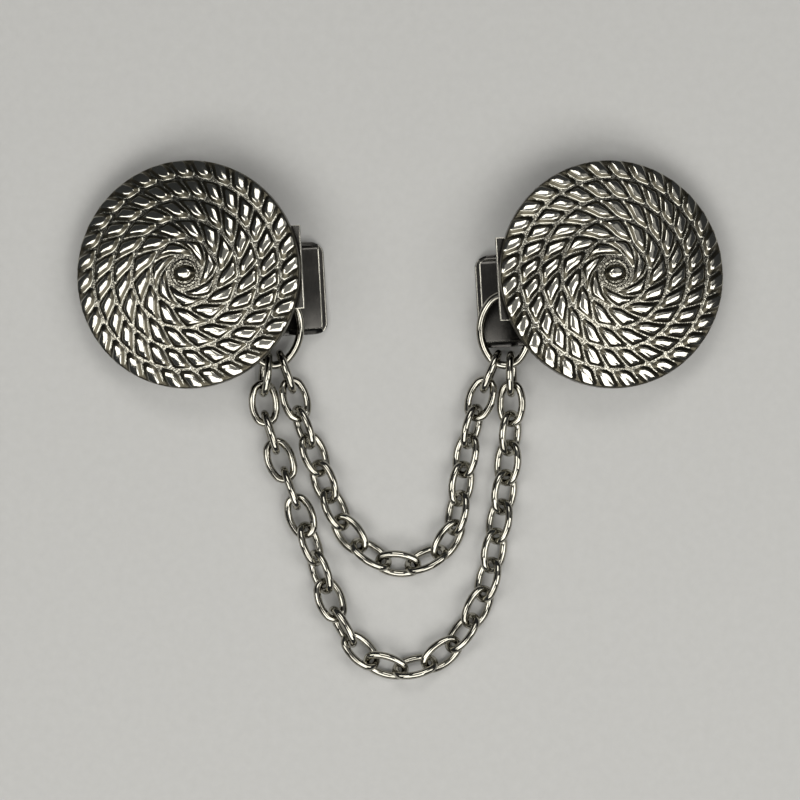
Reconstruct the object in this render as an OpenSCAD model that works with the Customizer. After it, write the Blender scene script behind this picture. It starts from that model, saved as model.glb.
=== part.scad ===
// Cardigan clip: two domed rope-pattern discs, each riveted to a sprung jaw clip, joined by
// two strands of oval-link chain. It lies flat, discs up. Millimetres, +Z up, the surface
// that it lies on is Z = 0, and the chain hangs towards -Y.

/* [Discs] */
// Diameter of a disc
disc_d = 27.4; // [26.8:0.1:27.8]
// Height of the plain rim wall
rim_h = 1.1; // [1:0.1:1.4]
// Rise of the dome above its rim
dome_h = 1.5; // [1.4:0.1:1.8]
// Wall thickness of the hollow disc
disc_wall = 1.1; // [1:0.1:1.2]
// Height that the rope beads stand above the dome
relief_h = 0.45; // [0.3:0.05:0.6]
// Share of a ring's pitch that a bead fills
bead_fill = 0.74; // [0.6:0.02:0.84]

/* [Layout] */
// Distance between the disc centres
disc_gap = 50.4; // [50:0.1:51]
// Distance of the disc centres behind the middle of the outline
disc_back = 17.5; // [17.2:0.1:17.8]
// Outward tilt of each clip, as it rests on its lower lever
tilt_out = 12; // [11.5:0.1:12.5]
// Tilt of each clip away from the chain
tilt_back = 4; // [3.5:0.1:4.2]
// Turn of the left clip in plan
turn_left = 4; // [3:0.5:5]
// Turn of the right clip in plan
turn_right = 2.5; // [2:0.5:4]

/* [Clip] */
// Sheet thickness of both levers
sheet = 0.45; // [0.4:0.05:0.5]
// Width of the upper lever, riveted to the disc
upper_w = 10; // [9.6:0.1:10.4]
// Width of the lower lever over its side flanges
lower_w = 11.2; // [11:0.1:11.4]
// Slide of the lower lever along its pin, towards the chain
lower_slide = 2.1; // [1.9:0.1:2.2]
// Diameter of the hinge pin
pin_d = 1.1; // [0.9:0.1:1.2]
// Wire diameter of the torsion spring
spring_wire = 0.45; // [0.4:0.05:0.5]
// Number of turns of the spring
spring_turns = 7; // [5:1:8]
// Number of teeth along each jaw
jaw_teeth = 7; // [5:1:9]

/* [Chain] */
// Wire diameter of a chain link
link_wire = 0.9; // [0.84:0.02:0.92]
// Overall length of a chain link
link_l = 5.7; // [5.6:0.05:5.8]
// Overall width of a chain link
link_w = 3.8; // [3.7:0.05:3.9]
// Wire diameter of a jump ring
ring_wire = 1; // [0.9:0.05:1]
// Overall length of a jump ring
ring_l = 9.6; // [9.5:0.1:9.7]
// Overall width of a jump ring
ring_w = 7; // [6.9:0.1:7.1]

/* [Hidden] */
$fn = 48;
LEFT = -1;
RIGHT = 1;
CHROME = "dimgray";
BRIGHT = "silver";

// Rings of rope beads, from the rim inwards: number of beads, inner and outer radius as
// shares of the disc's radius, lean from the radius, and the angle of one bead
BEAD_RINGS = [
  [32, 0.85, 0.98, 33, 6.3],
  [28, 0.67, 0.83, 38, 9.9],
  [20, 0.49, 0.65, 44, 13.5],
  [13, 0.31, 0.47, 44, 28.8],
  [7, 0.165, 0.295, 59, 14.4]
];
// Turn of each disc's pattern: left, right
PATTERN_TURN = [-2.7, 0];
swirl_r = 1.3;
swirl_wire = 0.7;
knob_r = 0.6;
knob_l = 1.7;

disc_r = disc_d / 2;
dome_r = (disc_r * disc_r + dome_h * dome_h) / (2 * dome_h);
dome_z = rim_h + dome_h - dome_r;
function dome_at(r) = dome_z + sqrt(dome_r * dome_r - r * r);

// Clip, in its own frame: X runs from the mouth to the finger end, Z = 0 is the disc's back
seat_gap = 0.03;
run_gap = 0.05;
mouth_x = -8.6;
mouth_z = -2.9;
knee_x = 3;
knee_z = -4.7;
tab_x = 14.8;
tab_z = mouth_z - (tab_x - mouth_x) * tan(tilt_out) / cos(tilt_back);
upper_x = 13.8;
upper_z = -seat_gap - sheet;
pin_x = 3.2;
pin_z = -2.3;
bend_r = 1;
jaw_z = -1.85;
jaw_gap = 0.1;
tooth_h = 0.4;
ear_r = 1.3;
ear_fixed = [-4.9, 2.1];
jaw_flange = 0.9;
ring_flange = 2.5;
tab_flange = 0.55;
tab_corner = 1.4;
slot_x = [6, 9.6];
slot_h = 1.6;
slot_mid = 1.05;
post_x = [-4, 8.5];
post_r = 0.8;
post_head_r = 1.3;
post_head_h = 0.4;
coil_r = 1.1;
leg_l = 6;
lower_y = -lower_slide - lower_w / 2;
rest_h = -mouth_x * sin(tilt_out)
  - cos(tilt_out) * (mouth_z * cos(tilt_back)
  - (lower_w / 2 - lower_slide - bend_r) * sin(tilt_back)) + 0.02;

// Height of the lower lever's underside and of the face above it
function under(x) = x < knee_x
  ? mouth_z + (knee_z - mouth_z) * (x - mouth_x) / (knee_x - mouth_x)
  : knee_z + (tab_z - knee_z) * (x - knee_x) / (tab_x - knee_x);
function above(x) = under(x) + 1.03 * sheet;

// Jump rings: x, y and z of the middle, turn in plan, rise of the end away from the chain
RING_PLACES = [
  [-15, 10.9, 2.7, -8, 10],
  [12.65, 10.9, 2.7, 0, 10]
];
RING_SHAPE = [3, 4, 5];
LINK_SHAPE = [5, 12, 13];

// Route of each strand on the surface, from the left jump ring to the right one: x, y
OUTER_ROUTE = [
  [-16.1, 6.8], [-16.4, 3], [-15.9, -0.4], [-14.7, -4], [-13.2, -8], [-11.6, -12.5],
  [-9.8, -17.6], [-8.1, -22.3], [-6.2, -25.9], [-3.6, -28.6], [0, -29.8], [3.6, -29],
  [6.5, -26.7], [8.8, -23.5], [10.5, -19.4], [11.7, -13.5], [12.7, -7.5], [13.3, -1],
  [13.4, 3], [13.4, 6.8]
];
INNER_ROUTE = [
  [-14.1, 7], [-12.9, 3.5], [-11.7, -0.5], [-10.1, -4.6], [-8.5, -9], [-6.3, -13.3],
  [-3.1, -16.3], [0.6, -17.3], [3.9, -16.3], [6, -14], [6.9, -11], [7.4, -7.6],
  [7.9, -4.4], [8.7, -0.6], [9.9, 3.2], [11.4, 7]
];
// Roll of each link about its length: 0 lies flat and 90 stands on edge
OUTER_ROLLS = [
  75, -5, 85, -5, -90, 15, -55, 55, -20, 70, -35, 40, -50, 30, -50, 35, -45, 40, -40, 40,
  -35, 50, -25, 80
];
INNER_ROLLS = [
  85, -20, 65, -35, 40, -45, 30, -50, 35, -50, 40, -50, 40, -40, 60, -20, 85
];
// Distance from a jump ring's wire to the middle of the first link
hook = (link_l - link_wire) / 2 - (link_wire + ring_wire) / 2 - 0.28;
// Most that a link may hang below what carries it
hang = 0.2;

// Smooth curve through the points of a route
function bend(a, b, c, d, t) = 0.5 * (2 * b + (c - a) * t + (2 * a - 5 * b + 4 * c - d) * t * t
  + (3 * b - a - 3 * c + d) * t * t * t);
function curve(r) = [
  for (i = [0 : len(r) - 2], t = [0 : 0.1 : 0.95])
    bend(r[max(i - 1, 0)], r[i], r[i + 1], r[min(i + 2, len(r) - 1)], t),
  r[len(r) - 1]
];
function lengths(p) = [
  for (i = 0, s = 0; i < len(p); s = i < len(p) - 1 ? s + norm(p[i + 1] - p[i]) : s, i = i + 1) s
];
function along(p, s, at) = [
  for (k = [0, 1]) lookup(at, [for (i = [0 : len(p) - 1]) [s[i], p[i][k]]])
];

// Height at which a link would rest by itself, and the height that its neighbours leave it
function own_height(roll) = (link_w - link_wire) / 2 * abs(sin(roll)) + link_wire / 2 + 0.005;
function height(rolls, i) = max(
  own_height(rolls[i]),
  own_height(rolls[max(i - 1, 0)]) - hang,
  own_height(rolls[min(i + 1, len(rolls) - 1)]) - hang
);

// Place of every link of a strand: x, y, z, heading, rise and roll
function strand(route, rolls) =
  let (p = curve(route), s = lengths(p), n = len(rolls), whole = s[len(s) - 1],
       pitch = (whole - 2 * hook) / (n - 1))
  [for (i = [0 : n - 1])
    let (at = hook + i * pitch, c = along(p, s, at),
         d = along(p, s, at + 0.8) - along(p, s, at - 0.8),
         rise = (height(rolls, min(i + 1, n - 1)) - height(rolls, max(i - 1, 0))) / 2)
    [c[0], c[1], height(rolls, i), atan2(d[1], d[0]), atan2(rise, pitch), rolls[i]]];

// Part of a ring of round wire
module wire_arc(r, from, to, wire) {
  rotate([0, 0, from])
    rotate_extrude(angle = to - from)
      translate([r, 0]) circle(d = wire, $fn = 16);
}

// Oval ring of round wire, its length along X: two end arcs and two side arcs, which meet on
// the long side of a right triangle with sides in the given proportion. The sides are a
// little thinner and run into the ends.
module oval_ring(l, w, wire, triangle) {
  a = (l - wire) / 2;
  b = (w - wire) / 2;
  unit = (a - b) / (triangle[0] + triangle[1] - triangle[2]);
  end_x = triangle[0] * unit;
  side_y = -triangle[1] * unit;
  sweep = atan2(triangle[1], triangle[0]);
  for (turn = [0, 180]) rotate([0, 0, turn]) {
    translate([end_x, 0, 0]) wire_arc(a - end_x, -sweep, sweep, wire);
    translate([0, side_y, 0]) wire_arc(b - side_y, sweep - 2, 182 - sweep, 0.96 * wire);
  }
}

// Clip frame to part frame, mirrored for the right clip
module tilted() {
  rotate([-tilt_back, -tilt_out, 0]) children();
}
module clip_at(side) {
  translate([side * disc_gap / 2, disc_back, rest_h])
    rotate([0, 0, side == LEFT ? turn_left : turn_right])
      if (side == RIGHT) mirror([1, 0, 0]) tilted() children();
      else tilted() children();
}
// The same place without the mirror, for the discs, which are two casts of one mould
module disc_at(side) {
  translate([side * disc_gap / 2, disc_back, rest_h])
    rotate([0, 0, side == LEFT ? turn_left : turn_right])
      rotate([-tilt_back, side * tilt_out, 0]) children();
}

// Flat side shape, drawn in the clip's X and Z, given a thickness along Y
module across(y, w) {
  translate([0, y + w, 0]) rotate([90, 0, 0]) linear_extrude(w) children();
}
// Bar along Y, round
module bar(x, y, z, r, l) {
  translate([x, y, z]) rotate([-90, 0, 0]) cylinder(h = l, r = r);
}

// Outline of one rope bead, curved as it leans
module bead_outline(n, r_in, r_out, lean, at) {
  half = bead_fill * 180 / n;
  steps = [0, 0.5, 1];
  radius = [for (t = steps) r_in + (r_out - r_in) * t];
  swing = [for (r = radius) at + tan(lean) * ln(2 * r / (r_in + r_out)) * 180 / PI];
  polygon([
    for (i = [0, 1, 2]) radius[i] * [cos(swing[i] - half), sin(swing[i] - half)],
    for (i = [2, 1, 0]) radius[i] * [cos(swing[i] + half), sin(swing[i] + half)]
  ]);
}
module bead_ring(row) {
  for (i = [0 : row[0] - 1])
    linear_extrude(rim_h + dome_h + 1)
      bead_outline(row[0], disc_r * row[1], disc_r * row[2], row[3], row[4] + i * 360 / row[0]);
}
module dome(grow) {
  intersection() {
    translate([0, 0, dome_z]) sphere(r = dome_r + grow, $fn = 200);
    cylinder(h = rim_h + dome_h + 1, r = disc_r + min(grow, 0), $fn = 96);
  }
}
module rope_pattern() {
  intersection() {
    translate([0, 0, dome_z]) sphere(r = dome_r + relief_h, $fn = 200);
    union() for (row = BEAD_RINGS) bead_ring(row);
  }
  translate([0, 0, dome_at(swirl_r)]) wire_arc(swirl_r, 0, 360, swirl_wire);
  translate([-(knob_l / 2 - knob_r), 0, dome_at(0)]) sphere(r = knob_r, $fn = 24);
  translate([knob_l / 2 - knob_r, 0, dome_at(0)]) sphere(r = knob_r, $fn = 24);
  translate([-(knob_l / 2 - knob_r), 0, dome_at(0)])
    rotate([0, 90, 0]) cylinder(h = knob_l - 2 * knob_r, r = knob_r, $fn = 24);
}
// Rivet post from the dome's inside, through the upper lever, with its upset head
module rivet(x) {
  head_z = upper_z - seat_gap - post_head_h;
  translate([x, 0, 0]) {
    cylinder(h = dome_at(abs(x)) - disc_wall / 2, r = 2 * post_r);
    translate([0, 0, head_z]) cylinder(h = -head_z + 0.2, r = post_r);
    translate([0, 0, head_z]) cylinder(h = post_head_h, r = post_head_r);
  }
}
module disc(side) {
  turn = side == LEFT ? turn_left : turn_right;
  color(BRIGHT) disc_at(side) {
    difference() {
      union() {
        dome(0);
        rotate([0, 0, PATTERN_TURN[side == LEFT ? 0 : 1] - turn]) rope_pattern();
      }
      translate([0, 0, -1]) intersection() {
        translate([0, 0, dome_z + 1]) sphere(r = dome_r - disc_wall, $fn = 200);
        cylinder(h = rim_h + dome_h + 1, r = disc_r - disc_wall, $fn = 96);
      }
    }
    for (x = post_x) rivet(-side * x);
  }
}

// Notches that leave a row of teeth along a jaw, with their points at height z
module notches(y, w, z, up) {
  pitch = w / jaw_teeth;
  for (i = [0 : jaw_teeth - 1])
    translate([mouth_x - 0.5, y + (i + 0.5) * pitch, z])
      rotate([90, 0, 90])
        linear_extrude(sheet + 1)
          polygon([[-0.42 * pitch, -up * 0.1], [0.42 * pitch, -up * 0.1], [0, up * tooth_h]]);
}
module upper_strip() {
  translate([mouth_x + bend_r, upper_z]) square([upper_x - mouth_x - bend_r, sheet]);
  translate([mouth_x + bend_r, upper_z + sheet - bend_r]) intersection() {
    difference() {
      circle(r = bend_r);
      circle(r = bend_r - sheet);
    }
    translate([-bend_r, 0]) square(bend_r);
  }
  translate([mouth_x, jaw_z]) square([sheet, upper_z + sheet - bend_r - jaw_z]);
}
module upper_ear() {
  translate([pin_x - ear_r, pin_z]) square([2 * ear_r, upper_z + sheet / 2 - pin_z]);
  translate([pin_x, pin_z]) circle(r = ear_r);
}
module upper_lever(side) {
  color(BRIGHT) clip_at(side) difference() {
    union() {
      across(-upper_w / 2, upper_w) upper_strip();
      for (y = ear_fixed) across(y, sheet) upper_ear();
    }
    bar(pin_x, -upper_w, pin_z, pin_d / 2 + run_gap, 2 * upper_w);
    for (x = post_x) translate([x, 0, upper_z - 1]) cylinder(h = 2, r = post_r + seat_gap);
    notches(-upper_w / 2, upper_w, jaw_z, 1);
  }
}

// Sheet channel of the lower lever between two points of its underside
module channel(x0, z0, x1, z1, extra) {
  translate([x0, -lower_slide, z0])
    rotate([0, -atan2(z1 - z0, x1 - x0), 0])
      rotate([90, 0, 90])
        linear_extrude(norm([x1 - x0, z1 - z0]) + extra)
          difference() {
            round_trough(lower_w, bend_r);
            translate([0, sheet]) round_trough(lower_w - 2 * sheet, bend_r - sheet);
          }
}
module round_trough(w, r) {
  translate([-w / 2, r]) square([w, 5]);
  translate([-w / 2 + r, 0]) square([w - 2 * r, r + 1]);
  for (s = [-1, 1]) translate([s * (w / 2 - r), r]) circle(r = r, $fn = 12);
}
// Side view that the channel is cut to: low at the jaw, an ear at the pin, a high flange
// with the ring's slot, and a low flange at the finger end
module lower_side() {
  polygon([
    [mouth_x, mouth_z - 1], [mouth_x, above(mouth_x)], [-6.2, above(-6.2)],
    [-5.4, above(-5.4) + jaw_flange], [pin_x - 2.6, above(pin_x - 2.6) + jaw_flange],
    [pin_x - ear_r, pin_z], [pin_x + ear_r, pin_z], [pin_x + 2.4, above(pin_x + 2.4) + ring_flange],
    [10.9, above(10.9) + ring_flange], [11.3, above(11.3) + tab_flange],
    [tab_x - 1.2, above(tab_x - 1.2) + tab_flange], [tab_x - 0.5, above(tab_x - 0.5)],
    [tab_x, above(tab_x)], [tab_x, tab_z - 1], [knee_x, tab_z - 1]
  ]);
  translate([pin_x, pin_z]) circle(r = ear_r);
}
module lower_plan() {
  translate([mouth_x, lower_y]) square([tab_x - tab_corner - mouth_x, lower_w]);
  translate([mouth_x, lower_y + tab_corner]) square([tab_x - mouth_x, lower_w - 2 * tab_corner]);
  for (y = [lower_y + tab_corner, lower_y + lower_w - tab_corner])
    translate([tab_x - tab_corner, y]) circle(r = tab_corner);
}
module ring_slot() {
  lean = atan2(tab_z - knee_z, tab_x - knee_x);
  translate([slot_x[0], above(slot_x[0]) + slot_mid]) rotate(lean) {
    translate([0, -slot_h / 2]) square([(slot_x[1] - slot_x[0]) / cos(lean), slot_h]);
    circle(d = slot_h);
    translate([(slot_x[1] - slot_x[0]) / cos(lean), 0]) circle(d = slot_h);
  }
}
module lower_lever(side) {
  tip_z = jaw_z - jaw_gap;
  color(CHROME) clip_at(side) difference() {
    union() {
      intersection() {
        union() {
          channel(mouth_x, mouth_z, knee_x, knee_z, 0.4);
          channel(knee_x, knee_z, tab_x, tab_z, 0.5);
        }
        across(lower_y, lower_w) lower_side();
        translate([0, 0, -12]) linear_extrude(12) lower_plan();
      }
      translate([mouth_x, lower_y + bend_r, mouth_z + sheet / 2])
        cube([sheet, lower_w - 2 * bend_r, tip_z - mouth_z - sheet / 2]);
    }
    bar(pin_x, lower_y - 1, pin_z, pin_d / 2 + seat_gap, lower_w + 2);
    across(lower_y - 0.5, 1.2) ring_slot();
    notches(lower_y + bend_r, lower_w - 2 * bend_r, tip_z, -1);
  }
}

module hinge_pin(side) {
  head = 0.3;
  reach = lower_w + 2 * seat_gap;
  color(BRIGHT) clip_at(side) {
    bar(pin_x, lower_y - seat_gap, pin_z, pin_d / 2, reach);
    bar(pin_x, lower_y - seat_gap - head, pin_z, 0.8 * pin_d, head);
    bar(pin_x, lower_y - seat_gap + reach, pin_z, 0.8 * pin_d, head);
  }
}

// Leg of the spring, leaving the coil on a tangent and bearing on a lever a height away
module spring_leg(y, height, up) {
  swing = asin(height / norm([coil_r, leg_l])) - atan2(coil_r, leg_l);
  translate([pin_x - coil_r * sin(swing), y, pin_z + up * coil_r * cos(swing)])
    rotate([0, 90 - up * swing, 0])
      translate([0, 0, -0.2]) cylinder(h = leg_l + 0.2, d = 0.9 * spring_wire, $fn = 16);
}
module spring(side) {
  turn_w = 0.96 * spring_wire;
  start = ear_fixed[0] + sheet + 1.2;
  leg_end = pin_x + leg_l * 0.93;
  clear = spring_wire / 2 + run_gap;
  color(BRIGHT) clip_at(side) {
    translate([pin_x, start, pin_z]) rotate([-90, 0, 0])
      rotate_extrude()
        for (i = [0 : spring_turns - 1])
          translate([coil_r, i * turn_w]) circle(d = spring_wire, $fn = 20);
    spring_leg(start, upper_z - clear - pin_z, 1);
    spring_leg(start + (spring_turns - 1) * turn_w, pin_z - above(leg_end) - clear - 0.05, -1);
  }
}

module jump_ring(side) {
  p = RING_PLACES[side == LEFT ? 0 : 1];
  color(BRIGHT) translate([p[0], p[1], p[2]]) rotate([p[4], 0, p[3]]) rotate([0, 0, 90])
    oval_ring(ring_l, ring_w, ring_wire, RING_SHAPE);
}
module chain(route, rolls) {
  color(BRIGHT) for (l = strand(route, rolls))
    translate([l[0], l[1], l[2]]) rotate([l[5], -l[4], l[3]])
      oval_ring(link_l, link_w, link_wire, LINK_SHAPE);
}

disc(LEFT);  // left_disc
upper_lever(LEFT);  // left_upper_lever
lower_lever(LEFT);  // left_lower_lever
hinge_pin(LEFT);  // left_hinge_pin
spring(LEFT);  // left_spring
jump_ring(LEFT);  // left_jump_ring
disc(RIGHT);  // right_disc
upper_lever(RIGHT);  // right_upper_lever
lower_lever(RIGHT);  // right_lower_lever
hinge_pin(RIGHT);  // right_hinge_pin
spring(RIGHT);  // right_spring
jump_ring(RIGHT);  // right_jump_ring
chain(OUTER_ROUTE, OUTER_ROLLS);  // outer_chain
chain(INNER_ROUTE, INNER_ROLLS);  // inner_chain
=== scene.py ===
import math

import bmesh
import bpy
from mathutils import Euler, Matrix, Vector


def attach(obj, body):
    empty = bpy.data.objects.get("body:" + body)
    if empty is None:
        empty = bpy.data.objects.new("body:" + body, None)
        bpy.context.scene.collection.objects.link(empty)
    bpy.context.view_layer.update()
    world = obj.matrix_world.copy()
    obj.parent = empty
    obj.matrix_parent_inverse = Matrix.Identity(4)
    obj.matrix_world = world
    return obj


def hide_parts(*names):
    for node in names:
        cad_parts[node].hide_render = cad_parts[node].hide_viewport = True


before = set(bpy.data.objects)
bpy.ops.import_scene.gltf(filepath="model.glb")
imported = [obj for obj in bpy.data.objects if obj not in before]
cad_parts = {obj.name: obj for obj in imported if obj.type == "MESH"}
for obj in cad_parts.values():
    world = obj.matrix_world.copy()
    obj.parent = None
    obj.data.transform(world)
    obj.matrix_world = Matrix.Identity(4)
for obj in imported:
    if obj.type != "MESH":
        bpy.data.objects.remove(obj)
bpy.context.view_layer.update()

# Cardigan clip, dressed: two rope-pattern discs on sprung jaws, joined by two strands of chain.
# Sizes are in millimetres, and those of the solids are the same as in the part's source.
MM = 0.001
LEFT, RIGHT = -1, 1
SIDE_NAME = {LEFT: "left", RIGHT: "right"}

DISC_R = 13.7
RIM_H = 1.1
DOME_H = 1.5
DISC_WALL = 1.1
# Wall as modelled here, a little thinner, and the rim's rounded shoulder and cut lower edge
SHELL_WALL = 1
SHOULDER_R = 0.25
LOWER_CUT = 0.1
DOME_R = (DISC_R ** 2 + DOME_H ** 2) / (2 * DOME_H)
DOME_Z = RIM_H + DOME_H - DOME_R

DISC_GAP = 50.4
DISC_BACK = 17.5
TILT_OUT = 12
TILT_BACK = 4
CLIP_TURN = {LEFT: 4, RIGHT: 2.5}
REST_H = 4.808

# Rings of rope beads, from the rim inwards: number of beads, inner and outer radius as shares
# of the disc's radius, lean from the radius in degrees, angle of the first bead
BEAD_RINGS = [
    (32, 0.85, 0.98, 33, 6.3),
    (28, 0.67, 0.83, 38, 9.9),
    (20, 0.49, 0.65, 44, 13.5),
    (13, 0.31, 0.47, 44, 28.8),
    (7, 0.165, 0.295, 59, 14.4),
]
PATTERN_TURN = {LEFT: -2.7, RIGHT: 0}
# Share of the room round a ring that its beads take up, and how far they reach past the ring
BEAD_FILL = 0.95
RING_OVER = 0.05

# Wear and painted light, which a disc's finish turns into tones: the ground between beads, dark
# partly as painted shade; a bead's foot, a painted highlight line; plain plating; the top of a
# flank, which is dark partly as painted shade; a rubbed top, lighter partly as painted highlight
GROUND, FOOT, PLATED, FLANK, TOP = 0, 0.14, 0.5, 0.86, 1
# Corners cut off a bead, so that its inner end is rounder than its outer one: end, whether
# the corner is acute, cut
BEAD_CORNERS = [(-1, True, 0.5), (-1, False, 0.42), (1, True, 0.32), (1, False, 0.2)]
# Layers of a bead from its foot up: rise, inset of the sides in millimetres and as a share of
# the bead's width, inset of the ends, shift outwards, wear and painted light (the foot layers are
# a painted highlight line)
BEAD_LAYERS = [
    (0.14, 0, 0, 0, 0, FOOT),
    (0.02, 0.05, 0, 0.05, 0, FOOT),
    (0.24, 0, 0.19, 0.3, 0, FLANK),
    (0.07, 0, 0.05, 0.1, 0.03, TOP),
    (0.025, 0, 0.04, 0.09, 0.03, TOP),
]
# Inset of the ends and shift outwards of the outermost ring's flanks
FLANK_LAYER = 2
RIM_FLANK_ENDS, RIM_FLANK_OUT = 0.16, 0.12
# How deep a bead's foot is sunk and how high it then stands, and how far the bead falls above
# it: at the disc's rim, at both ends, and from the middle to the outer end
BEAD_SUNK = 0.1
FOOT_TOP = 0.1
RIM_DROP, END_DROP, OUTWARD_DROP = 0.16, 0.06, 0.1

# Middle of a disc: plain ring, twists on it, knob
SWIRL_R, SWIRL_WIRE_R, SWIRL_SUNK = 1.5, 0.3, 0.14
TWISTS, TWIST_R, TWIST_RISE, TWIST_TURN = 20, 1.56, 0.02, 38
TWIST_AXES = (0.34, 0.13, 0.16, 1)
KNOB_AXES = (1.4, 1.02, 0.65, 1)
KNOB_SUNK, KNOB_TURN = 0.05, 10

# The clip's own frame: X runs from the mouth to the finger end, Z = 0 is the disc's back
SHEET = 0.45
UPPER_Z = -0.48
PIN = (3.2, -2.3)
PIN_R = 0.55
PIN_HEAD_R = 0.88
PIN_HEAD_H = 0.3
PLAY = 0.03
EAR_Y = -4.9
LOWER_W = 11.2
LOWER_Y = -2.1 - LOWER_W / 2
MOUTH = (-8.6, -2.9)
KNEE = (3, -4.7)
TAB_X = 14.8
EASED_EDGE = 0.07
# Width of the strip round each broad face of a lever that is toned bright with the eased edges:
# painted highlight lines, partly rubbed plating
RUBBED_AND_HIGHLIT_STRIP = 0.09
BROAD_FACE = 3
POST_X = (-4, 8.5)
POST_IN = 0.2
POST_R = 0.8
POST_HEAD_R = 1.3
POST_HEAD_H = 0.4
SPRING_WIRE = 0.45
COIL_R = 1.1
COIL_AT = EAR_Y + SHEET + 1.2
COIL_W = 6 * 0.96 * SPRING_WIRE
COIL_TURNS = 5.5
COIL_STEPS = 140
LEG_L = 6
LEG_GAP = 0.05

# Jump rings: x, y and z of the middle, turn in plan, rise of the end away from the chain
RING_PLACES = {LEFT: (-15, 10.9, 2.7, -8, 10), RIGHT: (12.65, 10.9, 2.7, 0, 10)}
RING_L, RING_W, RING_WIRE = 9.6, 7, 1
LINK_L, LINK_W, LINK_WIRE = 5.7, 3.8, 0.9
# Right-angled triangles that fix where an oval's end bends meet its side bends
RING_SHAPE = (3, 4, 5)
LINK_SHAPE = (5, 12, 13)
# Facets of an oval: round its wire, along half an end bend, along a side bend
RING_FACETS = (24, 14, 16)
LINK_FACETS = (18, 10, 7)

# Route of each strand on the surface, from the left jump ring to the right one, and the roll
# of each of its links
OUTER_ROUTE = [
    (-16.1, 6.8), (-16.4, 3), (-15.9, -0.4), (-14.7, -4), (-13.2, -8), (-11.6, -12.5),
    (-9.8, -17.6), (-8.1, -22.3), (-6.2, -25.9), (-3.6, -28.6), (0, -29.8), (3.6, -29),
    (6.5, -26.7), (8.8, -23.5), (10.5, -19.4), (11.7, -13.5), (12.7, -7.5), (13.3, -1),
    (13.4, 3), (13.4, 6.8),
]
OUTER_ROLLS = [
    75, -5, 85, -5, -90, 15, -55, 55, -20, 70, -35, 40, -50, 30, -50, 35, -45, 40, -40, 40,
    -35, 50, -25, 80,
]
INNER_ROUTE = [
    (-14.1, 7), (-12.9, 3.5), (-11.7, -0.5), (-10.1, -4.6), (-8.5, -9), (-6.3, -13.3),
    (-3.1, -16.3), (0.6, -17.3), (3.9, -16.3), (6, -14), (6.9, -11), (7.4, -7.6),
    (7.9, -4.4), (8.7, -0.6), (9.9, 3.2), (11.4, 7),
]
INNER_ROLLS = [85, -20, 65, -35, 40, -45, 30, -50, 35, -50, 40, -50, 40, -40, 60, -20, 85]
# Middle of the first link from the route's end, and how far a link may hang below the next
HOOK = (LINK_L - LINK_WIRE) / 2 - (LINK_WIRE + RING_WIRE) / 2 - 0.28
HANG = 0.2

# Camera, in metres: the picture is as wide as VIEW_WIDTH at VIEW_DISTANCE
SENSOR = 36
VIEW_DISTANCE = 0.7
VIEW_WIDTH = 0.096
CAMERA_AT = (0, 0.00249, 0.704)
LAMP_COLOUR = (1, 0.985, 0.95)
ROOM_COLOUR = (0.9, 0.95, 1, 1)
ROOM_STRENGTH = 0.045
# Soft boxes round the camera, with a gap in the middle: name, middle and size in metres, watts
LAMPS = [
    ("lamp_front", (0, -0.36, 0.5), (0.6, 0.36), 2.2),
    ("lamp_left", (-0.35, -0.04, 0.5), (0.22, 0.4), 0.9),
    ("lamp_right", (0.35, -0.06, 0.5), (0.24, 0.44), 1.1),
    ("lamp_back", (0, 0.29, 0.5), (0.26, 0.18), 0.5),
    ("lamp_top", (0, 0, 0.95), (0.74, 0.74), 0.33),
    ("lamp_far_right", (0.32, 0.24, 0.5), (0.26, 0.22), 0.06),
]


# ---- Camera, floor and lamps ----

def studio():
    camera = bpy.data.objects.new("camera", bpy.data.cameras.new("camera"))
    bpy.context.collection.objects.link(camera)
    camera.data.sensor_width = SENSOR
    camera.data.lens = SENSOR * VIEW_DISTANCE / VIEW_WIDTH
    camera.location = CAMERA_AT
    bpy.context.scene.camera = camera

    bm = bmesh.new()
    bmesh.ops.create_grid(bm, x_segments=1, y_segments=1, size=1.5)
    mesh = bpy.data.meshes.new("table_top")
    bm.to_mesh(mesh)
    bm.free()
    floor = bpy.data.objects.new("table_top", mesh)
    bpy.context.collection.objects.link(floor)
    mesh.materials.append(pale_paper())

    for name, middle, size, watts in LAMPS:
        lamp = bpy.data.lights.new(name, "AREA")
        lamp.shape = "RECTANGLE"
        lamp.size, lamp.size_y = size
        lamp.energy = watts
        lamp.color = LAMP_COLOUR
        held = bpy.data.objects.new(name, lamp)
        held.location = middle
        towards_clip = Vector((0, 0, 0)) - Vector(middle)
        held.rotation_euler = towards_clip.to_track_quat("-Z", "Y").to_euler()
        bpy.context.collection.objects.link(held)

    world = bpy.data.worlds.new("dim_room")
    world.use_nodes = True
    background = world.node_tree.nodes["Background"]
    background.inputs["Color"].default_value = ROOM_COLOUR
    background.inputs["Strength"].default_value = ROOM_STRENGTH
    bpy.context.scene.world = world
    bpy.context.scene.view_settings.view_transform = "Standard"


# ---- Finishes ----

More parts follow.
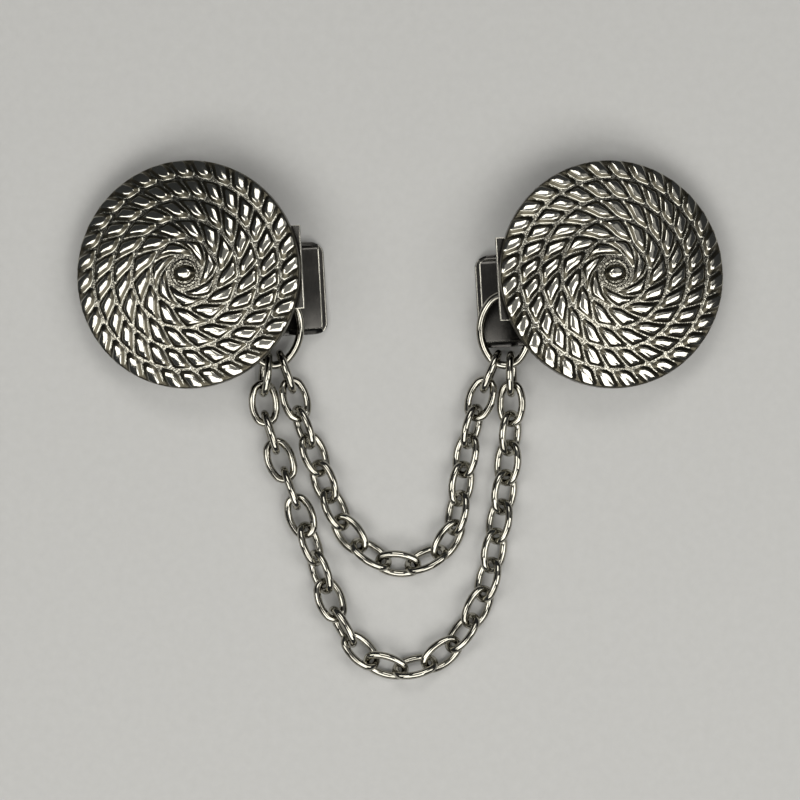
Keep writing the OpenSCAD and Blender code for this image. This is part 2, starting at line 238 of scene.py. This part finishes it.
class Tone:
    """One socket of a finish. Arithmetic on it adds Math nodes to the finish."""

    def __init__(self, socket):
        self.socket = socket

    def node(self, kind, settings=None, inputs=None, output=0):
        """Any other node of the same finish, its settings first and then its sockets."""
        tree = self.socket.id_data
        made = tree.nodes.new(kind)
        for key, value in (settings or {}).items():
            if key == "stops":
                for _ in range(len(value) - len(made.color_ramp.elements)):
                    made.color_ramp.elements.new(0.5)
                for stop, (at, colour) in zip(made.color_ramp.elements, value):
                    stop.position = at
                    stop.color = colour
            else:
                setattr(made, key, value)
        for key, value in (inputs or {}).items():
            if isinstance(value, Tone):
                tree.links.new(value.socket, made.inputs[key])
            else:
                made.inputs[key].default_value = value
        return Tone(made.outputs[output])

    def maths(self, operation, a, b, clamp=False):
        settings = {"operation": operation, "use_clamp": clamp}
        return self.node("ShaderNodeMath", settings, {0: a, 1: b})

    def __add__(self, other):
        return self.maths("ADD", self, other)

    def __radd__(self, other):
        return self.maths("ADD", other, self)

    def __sub__(self, other):
        return self.maths("SUBTRACT", self, other)

    def __rsub__(self, other):
        return self.maths("SUBTRACT", other, self)

    def __mul__(self, other):
        return self.maths("MULTIPLY", self, other)

    def __rmul__(self, other):
        return self.maths("MULTIPLY", other, self)

    def clamped(self):
        return self.maths("ADD", self, 0, clamp=True)

    def band(self, low, high):
        """0 below one value and 1 above the other, smooth between them."""
        return self.node(
            "ShaderNodeMapRange", {"interpolation_type": "SMOOTHSTEP"},
            {"Value": self, "From Min": low, "From Max": high},
        )

    def mixed(self, dark, light):
        """Colour from dark to light by this value. Each is a colour or another tone."""
        dark, light = (c if isinstance(c, Tone) else (*c, 1) for c in (dark, light))
        return self.node(
            "ShaderNodeMix", {"data_type": "RGBA"}, {"Factor": self, 6: dark, 7: light}, output=2
        )


def new_finish(name, metallic):
    material = bpy.data.materials.new(name)
    material.use_nodes = True
    shader = material.node_tree.nodes["Principled BSDF"]
    shader.inputs["Metallic"].default_value = metallic
    return material, shader, Tone(shader.inputs["Base Color"])


def feed(shader, **inputs):
    """Links what varies over the surface to the shader."""
    for name, tone in inputs.items():
        shader.id_data.links.new(tone.socket, shader.inputs[name.replace("_", " ")])


def mottle(tone, where, scale, detail=4, roughness=0.6, stretch=None):
    """Cloudy noise on the object's own place, drawn out along an axis if stretched."""
    if stretch:
        where = tone.node("ShaderNodeMapping", None, {"Vector": where, "Scale": stretch})
    return tone.node(
        "ShaderNodeTexNoise", None,
        {"Vector": where, "Scale": scale, "Detail": detail, "Roughness": roughness},
    )


def object_place(tone):
    return tone.node("ShaderNodeTexCoord", None, None, "Object")


def bumped(tone, height, strength, distance):
    return tone.node(
        "ShaderNodeBump", None,
        {"Height": height, "Strength": strength, "Distance": distance},
    )


def pale_paper():
    material, shader, tone = new_finish("pale_paper", 0)
    where = object_place(tone)
    fibre = mottle(tone, where, 900)
    feed(
        shader,
        Base_Color=fibre.mixed((0.50, 0.50, 0.49), (0.56, 0.56, 0.55)),
        Normal=bumped(tone, fibre, 0.2, 0.0001),
    )
    shader.inputs["Roughness"].default_value = 0.85
    shader.inputs["Specular IOR Level"].default_value = 0.2
    return material


def antique_nickel_painted_shade():
    """Cast discs: grainy ground, beads with dark matte flanks and tops rubbed bright, the dark
    partly painted shade and the bright partly painted highlight, with painted highlight lines at
    the feet.
    """
    material, shader, tone = new_finish("antique_black_nickel_painted_shade", 1)
    where = object_place(tone)
    height = tone.node("ShaderNodeAttribute", {"attribute_name": "raised"}, None, "Fac")
    patches = mottle(tone, where, 260, 5, 0.65)
    grain = mottle(tone, where, 5200, 3, 0.55)
    # dull ground and dark flanks, partly painted shade; light feet, painted highlight lines; tops
    # rubbed bright, partly painted highlight
    plate = tone.node(
        "ShaderNodeValToRGB",
        {"stops": (
            (0.0, (0.1, 0.095, 0.078, 1)), (0.06, (0.12, 0.114, 0.092, 1)),
            (0.11, (0.5, 0.49, 0.43, 1)), (0.17, (0.48, 0.47, 0.41, 1)),
            (0.22, (0.075, 0.068, 0.05, 1)), (0.86, (0.095, 0.087, 0.065, 1)),
            (0.95, (0.62, 0.60, 0.53, 1)),
        )},
        {0: height},
    )
    rubbed = height.band(0.75, 0.95)
    bloom = patches.band(0.5, 0.72) * 0.3
    crumbs = (1 - height.band(0.04, 0.08)) * grain.band(0.48, 0.6)
    matte = height.band(0.17, 0.22) - height.band(0.8, 0.95)
    feed(
        shader,
        Base_Color=crumbs.mixed(bloom.mixed(plate, (0.12, 0.11, 0.08)), (0.52, 0.5, 0.43)),
        Roughness=(
            0.22 - 0.12 * height.band(0.07, 0.11) + 0.2 * matte + 0.1 * (grain - 0.4)
        ).clamped(),
        Normal=bumped(tone, grain * (1.15 - rubbed) + 0.4 * patches, 0.4, 0.00005),
    )
    return material


def dark_nickel_sheet():
    """Pressed levers: satin dark plate, faint rolling lines, plating rubbed off the edges, and
    painted highlight lines along them.
    """
    material, shader, tone = new_finish("dark_nickel_sheet", 1)
    where = object_place(tone)
    lines = mottle(tone, where, 1500, 3, 0.6, stretch=(6, 0.35, 6))
    patches = mottle(tone, where, 220, 4, 0.6)
    # Bright tone in patches on the marked edges and strips: rubbed plating and painted highlight
    # lines.
    edge = tone.node("ShaderNodeAttribute", {"attribute_name": "rubbed"}, None, "Fac")
    rubbed = edge * patches.band(0.25, 0.45)
    feed(
        shader,
        Base_Color=rubbed.mixed(
            patches.band(0.35, 0.7).mixed((0.055, 0.053, 0.05), (0.1, 0.096, 0.088)),
            (0.6, 0.58, 0.51),
        ),
        Roughness=(0.14 + 0.14 * lines + 0.06 * patches).clamped(),
        Normal=bumped(tone, lines + 0.4 * patches, 0.18, 0.00004),
    )
    return material


def turned_steel():
    """Pins and rivet heads."""
    material, shader, tone = new_finish("turned_dark_steel", 1)
    where = object_place(tone)
    marks = mottle(tone, where, 2600, 3, 0.6, stretch=(1, 0.2, 1))
    feed(
        shader,
        Base_Color=marks.mixed((0.24, 0.235, 0.22), (0.44, 0.43, 0.41)),
        Roughness=(0.22 + 0.18 * marks).clamped(),
        Normal=bumped(tone, marks, 0.15, 0.00003),
    )
    return material


def spring_steel():
    """Drawn spring wire, a little brighter than the plating, with an oily blue-grey cast."""
    material, shader, tone = new_finish("drawn_spring_steel", 1)
    where = object_place(tone)
    drawn = mottle(tone, where, 3200, 3, 0.6, stretch=(0.4, 2, 0.4))
    feed(
        shader,
        Base_Color=drawn.mixed((0.30, 0.305, 0.31), (0.55, 0.55, 0.54)),
        Roughness=(0.2 + 0.15 * drawn).clamped(),
        Normal=bumped(tone, drawn, 0.12, 0.00002),
    )
    return material


def polished_wire():
    """Chain links and jump rings: polished dark nickel, duller in patches where it is handled."""
    material, shader, tone = new_finish("polished_dark_nickel_wire", 1)
    where = object_place(tone)
    patches = mottle(tone, where, 520, 4, 0.6)
    fine = mottle(tone, where, 4200, 3, 0.55)
    dull = patches.band(0.4, 0.75)
    feed(
        shader,
        Base_Color=dull.mixed((0.44, 0.425, 0.37), (0.22, 0.21, 0.18)),
        Roughness=(0.02 + 0.07 * dull + 0.04 * fine).clamped(),
        Normal=bumped(tone, fine + patches, 0.05, 0.00003),
    )
    return material


# ---- Making and placing ----

def shift(x, y, z):
    return Matrix.Translation((x, y, z))


def turned(x, y, z):
    """Turns about X, then Y, then Z, in degrees."""
    return Euler([math.radians(a) for a in (x, y, z)], "XYZ").to_matrix().to_4x4()


def seat_of(side):
    return shift(side * DISC_GAP / 2, DISC_BACK, REST_H) @ turned(0, 0, CLIP_TURN[side])


def clip_place(side):
    """From the clip's own frame to the part's, mirrored for the right clip."""
    mirror = Matrix.Scale(-1, 4, (1, 0, 0)) if side == RIGHT else Matrix.Identity(4)
    return seat_of(side) @ mirror @ turned(-TILT_BACK, -TILT_OUT, 0)


def disc_place(side):
    return seat_of(side) @ turned(-TILT_BACK, side * TILT_OUT, 0)


def hand_over(name, bm, finish, body, nodes=(), crease=35):
    """Turns a finished mesh, in millimetres, into a piece that rides on a body."""
    bmesh.ops.scale(bm, verts=bm.verts, vec=(MM, MM, MM))
    mesh = bpy.data.meshes.new(name)
    bm.to_mesh(mesh)
    bm.free()
    mesh.shade_smooth()
    mesh.set_sharp_from_angle(angle=math.radians(crease))
    mesh.materials.append(finish)
    piece = bpy.data.objects.new(name, mesh)
    bpy.context.collection.objects.link(piece)
    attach(piece, body)
    if nodes:
        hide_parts(*nodes)


def close_up(bm, doubles=0.0005):
    """Merges what meets and turns every shell's faces outwards."""
    bmesh.ops.remove_doubles(bm, verts=bm.verts, dist=doubles)
    bmesh.ops.recalc_face_normals(bm, faces=bm.faces)


def spun(bm, geom, centre, axis, degrees, steps, rise=(0, 0, 0), **more):
    """Spins a shape about a line and gives back the last copy."""
    done = bmesh.ops.spin(
        bm, geom=geom, cent=centre, axis=axis, dvec=rise, angle=math.radians(degrees),
        steps=steps, **more
    )
    return done["geom_last"]


def hoop(bm, radius, sides, place):
    """A ring of edges, flat in the given place: its points, then its edges in order."""
    done = bmesh.ops.create_circle(bm, cap_ends=False, segments=sides, radius=radius, matrix=place)
    verts = done["verts"]
    return verts + list(dict.fromkeys(e for v in verts for e in v.link_edges))


def oval_ring(bm, length, width, wire, triangle, facets, place):
    """Oval ring of round wire, its length along X, out of two end bends and two side bends."""
    sides, end_steps, side_steps = facets
    a, b = (length - wire) / 2, (width - wire) / 2
    unit = (a - b) / (triangle[0] + triangle[1] - triangle[2])
    end_x, side_y = triangle[0] * unit, -triangle[1] * unit
    sweep = math.degrees(math.atan2(triangle[1], triangle[0]))
    made = bmesh.new()
    # the section stands on the long axis, at the ring's far end, and goes once round
    geom = hoop(made, wire / 2, sides, shift(a, 0, 0) @ turned(90, 0, 0))
    for centre, degrees, steps in (
        ((end_x, 0, 0), sweep, end_steps),
        ((0, side_y, 0), 180 - 2 * sweep, side_steps),
        ((-end_x, 0, 0), 2 * sweep, 2 * end_steps),
        ((0, -side_y, 0), 180 - 2 * sweep, side_steps),
        ((end_x, 0, 0), sweep, end_steps),
    ):
        geom = spun(made, geom, centre, (0, 0, 1), degrees, steps)
    close_up(made)
    made.transform(place)
    merge_into(bm, made)


def merge_into(bm, made):
    """Adds one mesh to another."""
    mesh = bpy.data.meshes.new("part")
    made.to_mesh(mesh)
    made.free()
    bm.from_mesh(mesh)
    bpy.data.meshes.remove(mesh)


def rod(bm, radius, length, place, sides=32, edge=0.0):
    """Round rod along Z from the place's origin, with its end edges eased."""
    made = bmesh.new()
    bmesh.ops.create_cone(
        made, cap_ends=True, segments=sides, radius1=radius, radius2=radius, depth=length,
        matrix=shift(0, 0, length / 2),
    )
    if edge:
        rims = [e for e in made.edges if abs(e.verts[0].co.z - e.verts[1].co.z) < 1e-6]
        bmesh.ops.bevel(
            made, geom=rims, offset=edge, offset_type="OFFSET", affect="EDGES", segments=2,
            profile=0.5, material=-1,
        )
    close_up(made)
    made.transform(place)
    merge_into(bm, made)


# ---- Discs ----

def on_dome(radius, angle, height):
    """Point above the dome at a distance from the middle, an angle and a height."""
    flat = Vector((radius * math.cos(angle), radius * math.sin(angle), 0))
    up = Vector((flat.x, flat.y, math.sqrt(DOME_R ** 2 - radius ** 2))).normalized()
    return Vector((0, 0, DOME_Z)) + up * (DOME_R + height)


def domed_shell(raised):
    """Hollow domed blank, spun from its outer profile and then given its wall."""
    bm = bmesh.new()
    y_axis = (0, 1, 0)
    reach = math.degrees(math.asin((DISC_R - SHOULDER_R) / DOME_R))
    top = bm.verts.new((0, 0, DOME_Z + DOME_R))
    geom = spun(bm, [top], (0, 0, DOME_Z), y_axis, reach, 14)
    rim = [g for g in geom if isinstance(g, bmesh.types.BMVert)][0]
    shoulder = Vector((DISC_R - SHOULDER_R, 0, rim.co.z - SHOULDER_R))
    geom = spun(bm, [rim], shoulder, y_axis, 90, 4)
    wall = [g for g in geom if isinstance(g, bmesh.types.BMVert)][0]
    for x, z in ((DISC_R, LOWER_CUT), (DISC_R - LOWER_CUT, 0)):
        down = bmesh.ops.extrude_vert_indiv(bm, verts=[wall])["verts"][0]
        down.co = (x, 0, z)
        wall = down
    spun(bm, bm.verts[:] + bm.edges[:], (0, 0, 0), (0, 0, 1), 360, 120, use_merge=True)
    close_up(bm, 0.002)
    bmesh.ops.solidify(bm, geom=bm.faces[:], thickness=SHELL_WALL)
    layer = bm.verts.layers.float.new(raised)
    # The dome under the pattern takes the ground's dark tone, partly painted shade; the rest takes
    # plain plating.
    for v in bm.verts:
        on_top = math.hypot(v.co.x, v.co.y) < 0.98 * DISC_R and v.co.z > RIM_H
        v[layer] = GROUND if on_top else PLATED
    return bm


def spin_copies(bm, count):
    """Repeats a shape evenly round the disc's axis."""
    bmesh.ops.spin(
        bm, geom=bm.verts[:] + bm.edges[:] + bm.faces[:], cent=(0, 0, 0), axis=(0, 0, 1),
        dvec=(0, 0, 0), angle=2 * math.pi * (count - 1) / count, steps=count - 1,
        use_duplicate=True,
    )


def rope_bead(bm, row, layer):
    """One bead of a ring, then its copies: a thin foot toned as a painted highlight line, steep
    flanks toned dark, partly painted shade, and a full rubbed top, lighter partly as painted
    highlight.
    """
    count, inner, outer, lean, first = row
    outermost = row is BEAD_RINGS[0]
    r_in = inner * DISC_R - RING_OVER
    r_out = DISC_R if outermost else outer * DISC_R + RING_OVER
    middle, long = (r_in + r_out) / 2, r_out - r_in
    slant = math.tan(math.radians(lean))
    wide = BEAD_FILL * 2 * math.pi * middle / count
    across = wide * math.cos(math.radians(lean))
    leaning = Matrix(((1, slant, 0, 0), (0, 1, 0, 0), (0, 0, 1, 0), (0, 0, 0, 1)))
    made = bmesh.new()
    own = made.verts.layers.float.new(layer)
    bmesh.ops.create_grid(made, x_segments=1, y_segments=3, size=1)
    made.transform(leaning @ Matrix.Diagonal((wide / 2, long / 2, 1, 1)))
    for end, acute, cut in BEAD_CORNERS:
        corners = [
            v for v in made.verts
            if len(v.link_edges) == 2 and abs(v.co.y - end * long / 2) < 1e-5
            and ((v.co.x - slant * v.co.y) * v.co.y > 0) == acute
        ]
        bmesh.ops.bevel(
            made, geom=corners, offset=cut, offset_type="OFFSET", affect="VERTICES", segments=1,
            profile=0.5, material=-1,
        )
    faces = made.faces[:]
    size = [1, 1]
    for step, (rise, inset, share, ends, out, wear_and_painted_light) in enumerate(BEAD_LAYERS):
        if outermost and step == FLANK_LAYER:
            ends, out = RIM_FLANK_ENDS, RIM_FLANK_OUT
        insets = (inset + share * across, ends)
        raised = bmesh.ops.extrude_face_region(made, geom=faces, use_keep_orig=step == 0)
        faces = [g for g in raised["geom"] if isinstance(g, bmesh.types.BMFace)]
        top = [g for g in raised["geom"] if isinstance(g, bmesh.types.BMVert)]
        shrink = [
            (s - 2 * cut / full) / s for s, cut, full in zip(size, insets, (across, long))
        ]
        size = [s * k for s, k in zip(size, shrink)]
        smaller = leaning @ Matrix.Diagonal((*shrink, 1, 1)) @ leaning.inverted()
        bmesh.ops.transform(made, verts=top, matrix=shift(slant * out, out, rise) @ smaller)
        # Each layer's tone: a painted highlight line at the foot, dark flanks partly painted
        # shade, tops rubbed bright and partly painted highlight.
        for v in top:
            v[own] = wear_and_painted_light
    close_up(made)
    # the flat row is bent on to the dome, its lean kept at every radius
    for v in made.verts:
        u, out, height = v.co
        height -= BEAD_SUNK
        radius = middle + out
        if outermost:
            height -= RIM_DROP * max(0, (radius / DISC_R - 0.9) / 0.1) ** 2
        elif height > FOOT_TOP:
            height -= END_DROP * (2 * out / long) ** 2 + OUTWARD_DROP * out / long
        swing = slant * (math.log(radius / middle) - out / middle) + u / middle
        v.co = on_dome(radius, math.radians(first) + swing, height)
    bmesh.ops.recalc_face_normals(made, faces=made.faces)
    spin_copies(made, count)
    merge_into(bm, made)


def swirl_and_knob(bm, layer):
    """Low twisted ring round an oval knob, which has a full top inside steep dark flanks."""
    crown = DOME_Z + DOME_R
    made = bmesh.new()
    section = shift(SWIRL_R, 0, crown - SWIRL_SUNK) @ turned(90, 0, 0)
    geom = hoop(made, SWIRL_WIRE_R, 10, section)
    spun(made, geom, (0, 0, 0), (0, 0, 1), 360, 40, use_merge=True)
    close_up(made)
    merge_into(bm, made)
    made = bmesh.new()
    bmesh.ops.create_uvsphere(made, u_segments=8, v_segments=5, radius=1)
    first = shift(TWIST_R, 0, crown + TWIST_RISE) @ turned(0, 0, TWIST_TURN)
    made.transform(first @ Matrix.Diagonal(TWIST_AXES))
    spin_copies(made, TWISTS)
    merge_into(bm, made)
    made = bmesh.new()
    own = made.verts.layers.float.new(layer)
    bmesh.ops.create_uvsphere(made, u_segments=28, v_segments=16, radius=1)
    # the ball's upper half becomes a cone under a shallow cap; the cap alone is rubbed bright,
    # partly painted highlight, and the rest takes the flanks' dark tone, partly painted shade
    for v in made.verts:
        v[own] = min(TOP, max(0.3, 4 * v.co.z - 2.2))
        share = math.hypot(v.co.x, v.co.y)
        if v.co.z > 0:
            v.co.z = min(2.1 * (1 - share), 0.82 + 0.18 * (1 - share ** 2))
    place = shift(0, 0, crown - KNOB_SUNK) @ turned(0, 0, KNOB_TURN)
    made.transform(place @ Matrix.Diagonal(KNOB_AXES))
    merge_into(bm, made)


def rope_disc(side, finish):
    layer = "raised"
    shell = domed_shell(layer)
    pattern = bmesh.new()
    pattern.verts.layers.float.new(layer)
    for row in BEAD_RINGS:
        rope_bead(pattern, row, layer)
    swirl_and_knob(pattern, layer)
    pattern.transform(turned(0, 0, PATTERN_TURN[side] - CLIP_TURN[side]))
    merge_into(shell, pattern)
    shell.transform(disc_place(side))
    name = SIDE_NAME[side]
    hand_over(
        f"{name}_rope_disc", shell, finish, f"{name}_jaw", [f"{name}_disc"], 50
    )


def rivets(side, finish):
    """The two posts cast under a disc, each with its spread head below the upper lever."""
    bm = bmesh.new()
    head_z = UPPER_Z - PLAY - POST_HEAD_H
    for x in (-side * p for p in POST_X):
        inside = DOME_Z + math.sqrt(DOME_R ** 2 - x * x) - DISC_WALL / 2
        rod(bm, 2 * POST_R, inside, shift(x, 0, 0), edge=0.08)
        rod(bm, POST_R, POST_IN - head_z, shift(x, 0, head_z))
        rod(bm, POST_HEAD_R, POST_HEAD_H, shift(x, 0, head_z), edge=0.14)
    bm.transform(disc_place(side))
    name = SIDE_NAME[side]
    hand_over(f"{name}_rivets", bm, finish, f"{name}_jaw")


# ---- Jaws ----

def pressed_lever(side, which, body, finish):
    """Sheet lever with its sharp edges eased, as tumbling and use leave them, and marked bright
    with a strip round each broad face: rubbed plating and painted highlight lines.
    """
    node = f"{SIDE_NAME[side]}_{which}_lever"
    bm = bmesh.new()
    bm.from_mesh(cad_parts[node].data)
    bmesh.ops.scale(bm, verts=bm.verts, vec=(1 / MM, 1 / MM, 1 / MM))
    bmesh.ops.remove_doubles(bm, verts=bm.verts, dist=0.002)
    bmesh.ops.dissolve_limit(
        bm, angle_limit=math.radians(0.6), verts=bm.verts, edges=bm.edges,
    )
    sharp = [e for e in bm.edges if e.is_manifold and e.calc_face_angle() > math.radians(40)]
    rubbed = bm.faces.layers.float.new("rubbed")
    eased = bmesh.ops.bevel(
        bm, geom=sharp, offset=EASED_EDGE, offset_type="OFFSET", affect="EDGES", segments=2,
        profile=0.5, material=-1, clamp_overlap=True,
    )
    broad = [f for f in bm.faces if f.calc_area() > BROAD_FACE]
    strips = bmesh.ops.inset_region(
        bm, faces=broad, thickness=RUBBED_AND_HIGHLIT_STRIP, depth=0, use_boundary=True,
        use_even_offset=False,
    )
    # The eased edges and the strips take the bright tone: rubbed plating and painted highlight
    # lines.
    for face in eased["faces"] + strips["faces"]:
        if face.is_valid:
            face[rubbed] = 1
    hand_over(f"{node}_plate", bm, finish, body, [node])


def hinge_pin(side, finish):
    """Pin through both levers' ears, with a head at each end."""
    bm = bmesh.new()
    reach, head = LOWER_W + 2 * PLAY, PIN_HEAD_H
    along_y = turned(-90, 0, 0)
    rod(bm, PIN_R, reach + head, shift(PIN[0], LOWER_Y - PLAY - head / 2, PIN[1]) @ along_y)
    for y in (LOWER_Y - PLAY - head, LOWER_Y - PLAY + reach):
        rod(bm, PIN_HEAD_R, head, shift(PIN[0], y, PIN[1]) @ along_y, edge=0.1)
    bm.transform(clip_place(side))
    if side == RIGHT:
        bmesh.ops.reverse_faces(bm, faces=bm.faces)
    name = SIDE_NAME[side]
    hand_over(f"{name}_pin", bm, finish, "base", [f"{name}_hinge_pin"])


def leg_swing(height):
    """Angle of a leg that leaves the coil on a tangent and ends at a height from the pin."""
    return math.degrees(
        math.asin(height / math.hypot(COIL_R, LEG_L)) - math.atan2(COIL_R, LEG_L)
    )


def above(x):
    """Height of the lower lever's upper face behind its knee."""
    fall = math.tan(math.radians(TILT_OUT)) / math.cos(math.radians(TILT_BACK))
    tab_z = MOUTH[1] - (TAB_X - MOUTH[0]) * fall
    slope = (tab_z - KNEE[1]) / (TAB_X - KNEE[0])
    return KNEE[1] + slope * (x - KNEE[0]) + 1.03 * SHEET


def torsion_spring(side, finish):
    """Coil with its lower leg, which stays with the pin, and the upper leg, which moves."""
    clear = SPRING_WIRE / 2 + LEG_GAP
    high = leg_swing(UPPER_Z - clear - PIN[1])
    low = leg_swing(PIN[1] - above(PIN[0] + 0.93 * LEG_L) - clear - LEG_GAP)
    centre = Vector((PIN[0], COIL_AT, PIN[1]))
    lift = turned(0, -high, 0)
    ahead = Vector((1, 0, 0))
    name = SIDE_NAME[side]

    def wire_end(bm):
        """The wire's section where the upper leg meets the coil, closed by a face."""
        place = shift(*centre) @ lift @ shift(0, 0, COIL_R) @ turned(0, 90, 0)
        geom = hoop(bm, SPRING_WIRE / 2, 10, place)
        edges = [g for g in geom if isinstance(g, bmesh.types.BMEdge)]
        bmesh.ops.edgeloop_fill(bm, edges=edges)
        return geom

    def finish_leg(bm, geom, direction):
        """Draws the wire's last section out into a straight leg, then closes and places all."""
        loop = [g for g in geom if isinstance(g, bmesh.types.BMEdge)]
        far = bmesh.ops.extrude_edge_only(bm, edges=loop)["geom"]
        tip = [g for g in far if isinstance(g, bmesh.types.BMVert)]
        bmesh.ops.translate(bm, verts=tip, vec=direction * LEG_L)
        rim = [g for g in far if isinstance(g, bmesh.types.BMEdge) and g.is_boundary]
        bmesh.ops.edgeloop_fill(bm, edges=rim)
        close_up(bm)
        bm.transform(clip_place(side))
        bmesh.ops.recalc_face_normals(bm, faces=bm.faces)

    bm = bmesh.new()
    whole = COIL_TURNS * 360 + high + low
    rise = (0, COIL_W / COIL_STEPS, 0)
    geom = spun(bm, wire_end(bm), centre, (0, -1, 0), whole, COIL_STEPS, rise=rise)
    finish_leg(bm, geom, turned(0, low, 0) @ ahead)
    hand_over(f"{name}_spring_coil", bm, finish, "base", [f"{name}_spring"])

    bm = bmesh.new()
    finish_leg(bm, wire_end(bm), lift @ ahead)
    hand_over(f"{name}_spring_leg", bm, finish, f"{name}_jaw")


# ---- Rings and chain ----

def jump_ring(side, finish):
    x, y, z, turn, rise = RING_PLACES[side]
    bm = bmesh.new()
    place = shift(x, y, z) @ turned(rise, 0, turn) @ turned(0, 0, 90)
    oval_ring(bm, RING_L, RING_W, RING_WIRE, RING_SHAPE, RING_FACETS, place)
    name = SIDE_NAME[side]
    hand_over(f"{name}_ring", bm, finish, "base", [f"{name}_jump_ring"], 180)


def smooth_route(points):
    """The route's points with ten short steps between each two, as one smooth curve."""
    curve = []
    for i in range(len(points) - 1):
        a, b = Vector(points[max(i - 1, 0)]), Vector(points[i])
        c, d = Vector(points[i + 1]), Vector(points[min(i + 2, len(points) - 1)])
        for step in range(10):
            t = step / 10
            curve.append(0.5 * (
                2 * b + (c - a) * t + (2 * a - 5 * b + 4 * c - d) * t ** 2
                + (3 * b - a - 3 * c + d) * t ** 3
            ))
    return curve + [Vector(points[-1])]


def point_along(curve, lengths, distance):
    """Point of a curve at a distance from its start."""
    distance = min(max(distance, 0), lengths[-1])
    i = max(k for k, s in enumerate(lengths[:-1]) if s <= distance)
    share = (distance - lengths[i]) / (lengths[i + 1] - lengths[i])
    return curve[i].lerp(curve[i + 1], share)


def resting_height(rolls, i):
    """Height of a link: on the surface, or held up by the link before or after it."""
    def lying(k):
        roll = math.radians(rolls[min(max(k, 0), len(rolls) - 1)])
        return (LINK_W - LINK_WIRE) / 2 * abs(math.sin(roll)) + LINK_WIRE / 2 + 0.005

    return max(lying(i), lying(i - 1) - HANG, lying(i + 1) - HANG)


def strand(name, route, rolls, finish, node):
    """Links hooked through one another along a route, evenly from one jump ring to the other."""
    curve = smooth_route(route)
    lengths = [0]
    for a, b in zip(curve, curve[1:]):
        lengths.append(lengths[-1] + (b - a).length)
    count = len(rolls)
    pitch = (lengths[-1] - 2 * HOOK) / (count - 1)
    near = 0.8
    bm = bmesh.new()
    for i, roll in enumerate(rolls):
        at = HOOK + i * pitch
        middle = point_along(curve, lengths, at)
        way = point_along(curve, lengths, at + near) - point_along(curve, lengths, at - near)
        before = resting_height(rolls, max(i - 1, 0))
        after = resting_height(rolls, min(i + 1, count - 1))
        rise = math.degrees(math.atan2((after - before) / 2, pitch))
        heading = math.degrees(math.atan2(way.y, way.x))
        place = shift(middle.x, middle.y, resting_height(rolls, i)) @ turned(roll, -rise, heading)
        oval_ring(bm, LINK_L, LINK_W, LINK_WIRE, LINK_SHAPE, LINK_FACETS, place)
    hand_over(name, bm, finish, "base", [node], 180)


# ---- The whole clip ----

plate = antique_nickel_painted_shade()
sheet_plate = dark_nickel_sheet()
steel = turned_steel()
wire_steel = spring_steel()
polish = polished_wire()

studio()
for side in (LEFT, RIGHT):
    rope_disc(side, plate)
    rivets(side, steel)
    pressed_lever(side, "upper", f"{SIDE_NAME[side]}_jaw", sheet_plate)
    pressed_lever(side, "lower", "base", sheet_plate)
    hinge_pin(side, steel)
    torsion_spring(side, wire_steel)
    jump_ring(side, polish)
strand("outer_strand", OUTER_ROUTE, OUTER_ROLLS, polish, "outer_chain")
strand("inner_strand", INNER_ROUTE, INNER_ROLLS, polish, "inner_chain")
